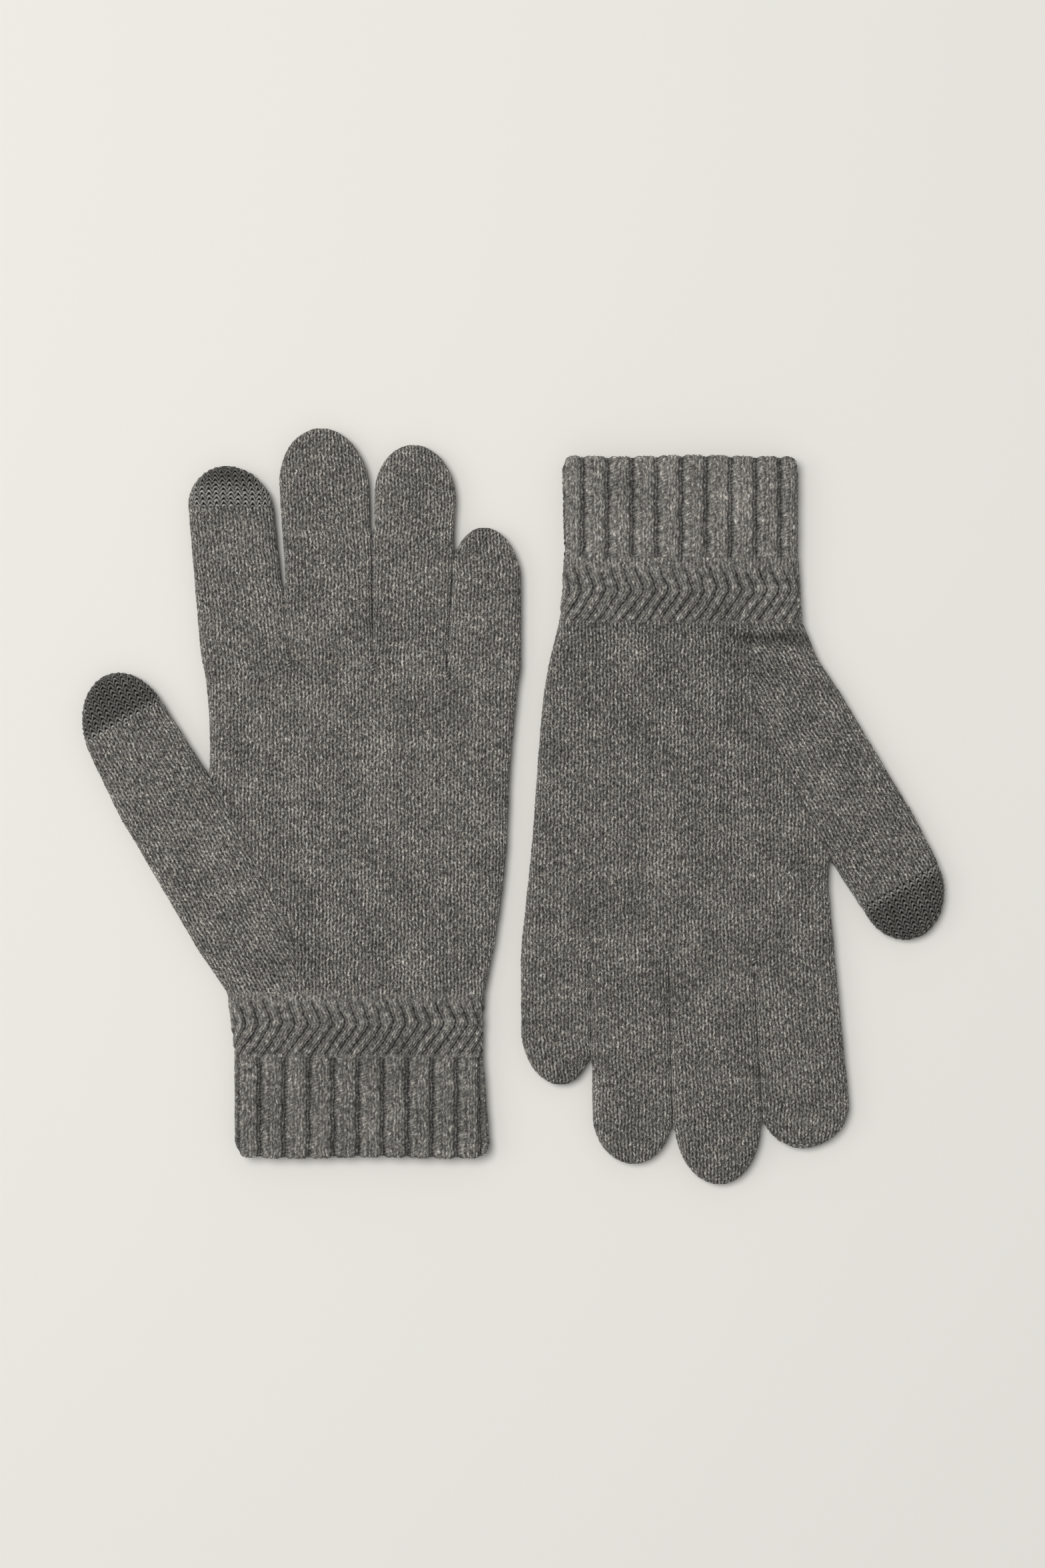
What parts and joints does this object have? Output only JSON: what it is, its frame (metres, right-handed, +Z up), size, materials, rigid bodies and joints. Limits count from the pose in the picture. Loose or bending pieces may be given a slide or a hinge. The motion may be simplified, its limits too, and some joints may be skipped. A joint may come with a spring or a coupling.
{
  "type": "touchscreen gloves",
  "caption": "Pair of knitted wool gloves lying flat, with ribbed cuffs, a chevron wrist band and darker conductive caps on thumb and index fingertips.",
  "frame": {"origin": "middle of the space that the two gloves cover, on the surface they lie on", "axes": "+Z up; +Y towards the left glove's fingertips; +X from the left glove to the right glove"},
  "size_m": [0.2956, 0.259, 0.0094],
  "materials": {
    "wool_jersey": "heathered grey wool, plain knit",
    "wool_rib": "heathered grey wool, two by two rib",
    "wool_chevron": "heathered grey wool, chevron rib",
    "touch_knit": "dark conductive yarn, raised loops",
    "closing_yarn": "grey wool sewing yarn"
  },
  "bodies": {
    "left_hand_body": {"left_hand": "wool_jersey", "left_thumb_gusset": "wool_jersey", "left_chevron_band": "wool_chevron", "left_index_middle_closing_stitch": "closing_yarn", "left_middle_ring_closing_stitch": "closing_yarn", "left_ring_little_closing_stitch": "closing_yarn"},
    "left_cuff_body": {"left_rib_cuff": "wool_rib"},
    "left_thumb_lower_body": {"left_thumb_lower": "wool_jersey"},
    "left_thumb_upper_body": {"left_thumb_upper": "wool_jersey", "left_thumb_touch_cap": "touch_knit"},
    "left_index_lower_body": {"left_index_lower": "wool_jersey"},
    "left_index_upper_body": {"left_index_upper": "wool_jersey", "left_index_touch_cap": "touch_knit"},
    "left_middle_lower_body": {"left_middle_lower": "wool_jersey"},
    "left_middle_upper_body": {"left_middle_upper": "wool_jersey"},
    "left_ring_lower_body": {"left_ring_lower": "wool_jersey"},
    "left_ring_upper_body": {"left_ring_upper": "wool_jersey"},
    "left_little_lower_body": {"left_little_lower": "wool_jersey"},
    "left_little_upper_body": {"left_little_upper": "wool_jersey"},
    "right_hand_body": {"right_hand": "wool_jersey", "right_thumb_gusset": "wool_jersey", "right_chevron_band": "wool_chevron", "right_index_middle_closing_stitch": "closing_yarn", "right_middle_ring_closing_stitch": "closing_yarn", "right_ring_little_closing_stitch": "closing_yarn"},
    "right_cuff_body": {"right_rib_cuff": "wool_rib"},
    "right_thumb_lower_body": {"right_thumb_lower": "wool_jersey"},
    "right_thumb_upper_body": {"right_thumb_upper": "wool_jersey", "right_thumb_touch_cap": "touch_knit"},
    "right_index_lower_body": {"right_index_lower": "wool_jersey"},
    "right_index_upper_body": {"right_index_upper": "wool_jersey", "right_index_touch_cap": "touch_knit"},
    "right_middle_lower_body": {"right_middle_lower": "wool_jersey"},
    "right_middle_upper_body": {"right_middle_upper": "wool_jersey"},
    "right_ring_lower_body": {"right_ring_lower": "wool_jersey"},
    "right_ring_upper_body": {"right_ring_upper": "wool_jersey"},
    "right_little_lower_body": {"right_little_lower": "wool_jersey"},
    "right_little_upper_body": {"right_little_upper": "wool_jersey"}
  },
  "joints": [
    {"name": "left_cuff_fold", "type": "hinge", "parent": "left_hand_body", "child": "left_cuff_body", "pos_m": [-0.05283, -0.08489, 0.0094], "axis": [-1, 0, 0], "range_deg": [0, 90]},
    {"name": "left_thumb_root", "type": "hinge", "parent": "left_hand_body", "child": "left_thumb_lower_body", "pos_m": [-0.11916, 0.00302, 0.008], "axis": [0.8746, 0.4848, 0], "range_deg": [0, 60]},
    {"name": "left_thumb_knuckle", "type": "hinge", "parent": "left_thumb_lower_body", "child": "left_thumb_upper_body", "pos_m": [-0.12788, 0.01876, 0.008], "axis": [0.8746, 0.4848, 0], "range_deg": [0, 80]},
    {"name": "left_index_root", "type": "hinge", "parent": "left_hand_body", "child": "left_index_lower_body", "pos_m": [-0.09178, 0.05121, 0.008], "axis": [1, 0, 0], "range_deg": [0, 90]},
    {"name": "left_index_knuckle", "type": "hinge", "parent": "left_index_lower_body", "child": "left_index_upper_body", "pos_m": [-0.0948, 0.08321, 0.008], "axis": [1, 0, 0], "range_deg": [0, 100]},
    {"name": "left_middle_root", "type": "hinge", "parent": "left_hand_body", "child": "left_middle_lower_body", "pos_m": [-0.06218, 0.05121, 0.008], "axis": [1, 0, 0], "range_deg": [0, 90]},
    {"name": "left_middle_knuckle", "type": "hinge", "parent": "left_middle_lower_body", "child": "left_middle_upper_body", "pos_m": [-0.06377, 0.08921, 0.008], "axis": [1, 0, 0], "range_deg": [0, 100]},
    {"name": "left_ring_root", "type": "hinge", "parent": "left_hand_body", "child": "left_ring_lower_body", "pos_m": [-0.03528, 0.04971, 0.008], "axis": [1, 0, 0], "range_deg": [0, 90]},
    {"name": "left_ring_knuckle", "type": "hinge", "parent": "left_ring_lower_body", "child": "left_ring_upper_body", "pos_m": [-0.03415, 0.08571, 0.008], "axis": [1, 0, 0], "range_deg": [0, 100]},
    {"name": "left_little_root", "type": "hinge", "parent": "left_hand_body", "child": "left_little_lower_body", "pos_m": [-0.00988, 0.04661, 0.008], "axis": [1, 0, 0], "range_deg": [0, 90]},
    {"name": "left_little_knuckle", "type": "hinge", "parent": "left_little_lower_body", "child": "left_little_upper_body", "pos_m": [-0.00909, 0.07161, 0.008], "axis": [1, 0, 0], "range_deg": [0, 100]},
    {"name": "right_cuff_fold", "type": "hinge", "parent": "right_hand_body", "child": "right_cuff_body", "pos_m": [0.05737, 0.08441, 0.0094], "axis": [1, 0, 0], "range_deg": [0, 90]},
    {"name": "right_thumb_root", "type": "hinge", "parent": "right_hand_body", "child": "right_thumb_lower_body", "pos_m": [0.12254, -0.01044, 0.008], "axis": [-0.866, -0.5, 0], "range_deg": [0, 60]},
    {"name": "right_thumb_knuckle", "type": "hinge", "parent": "right_thumb_lower_body", "child": "right_thumb_upper_body", "pos_m": [0.12804, -0.01996, 0.008], "axis": [-0.866, -0.5, 0], "range_deg": [0, 80]},
    {"name": "right_index_root", "type": "hinge", "parent": "right_hand_body", "child": "right_index_lower_body", "pos_m": [0.09632, -0.05499, 0.008], "axis": [-1, 0, 0], "range_deg": [0, 90]},
    {"name": "right_index_knuckle", "type": "hinge", "parent": "right_index_lower_body", "child": "right_index_upper_body", "pos_m": [0.09863, -0.08499, 0.008], "axis": [-1, 0, 0], "range_deg": [0, 100]},
    {"name": "right_middle_root", "type": "hinge", "parent": "right_hand_body", "child": "right_middle_lower_body", "pos_m": [0.06752, -0.05399, 0.008], "axis": [-1, 0, 0], "range_deg": [0, 90]},
    {"name": "right_middle_knuckle", "type": "hinge", "parent": "right_middle_lower_body", "child": "right_middle_upper_body", "pos_m": [0.06907, -0.09099, 0.008], "axis": [-1, 0, 0], "range_deg": [0, 100]},
    {"name": "right_ring_root", "type": "hinge", "parent": "right_hand_body", "child": "right_ring_lower_body", "pos_m": [0.03952, -0.05159, 0.008], "axis": [-1, 0, 0], "range_deg": [0, 90]},
    {"name": "right_ring_knuckle", "type": "hinge", "parent": "right_ring_lower_body", "child": "right_ring_upper_body", "pos_m": [0.04013, -0.08659, 0.008], "axis": [-1, 0, 0], "range_deg": [0, 100]},
    {"name": "right_little_root", "type": "hinge", "parent": "right_hand_body", "child": "right_little_lower_body", "pos_m": [0.01422, -0.05009, 0.008], "axis": [-1, 0, 0], "range_deg": [0, 90]},
    {"name": "right_little_knuckle", "type": "hinge", "parent": "right_little_lower_body", "child": "right_little_upper_body", "pos_m": [0.01442, -0.07309, 0.008], "axis": [-1, 0, 0], "range_deg": [0, 100]},
    {"name": "right_glove_apart", "type": "slide", "parent": "left_hand_body", "child": "right_hand_body", "axis": [1, 0, 0], "range_m": [0, 0.12]}
  ]
}
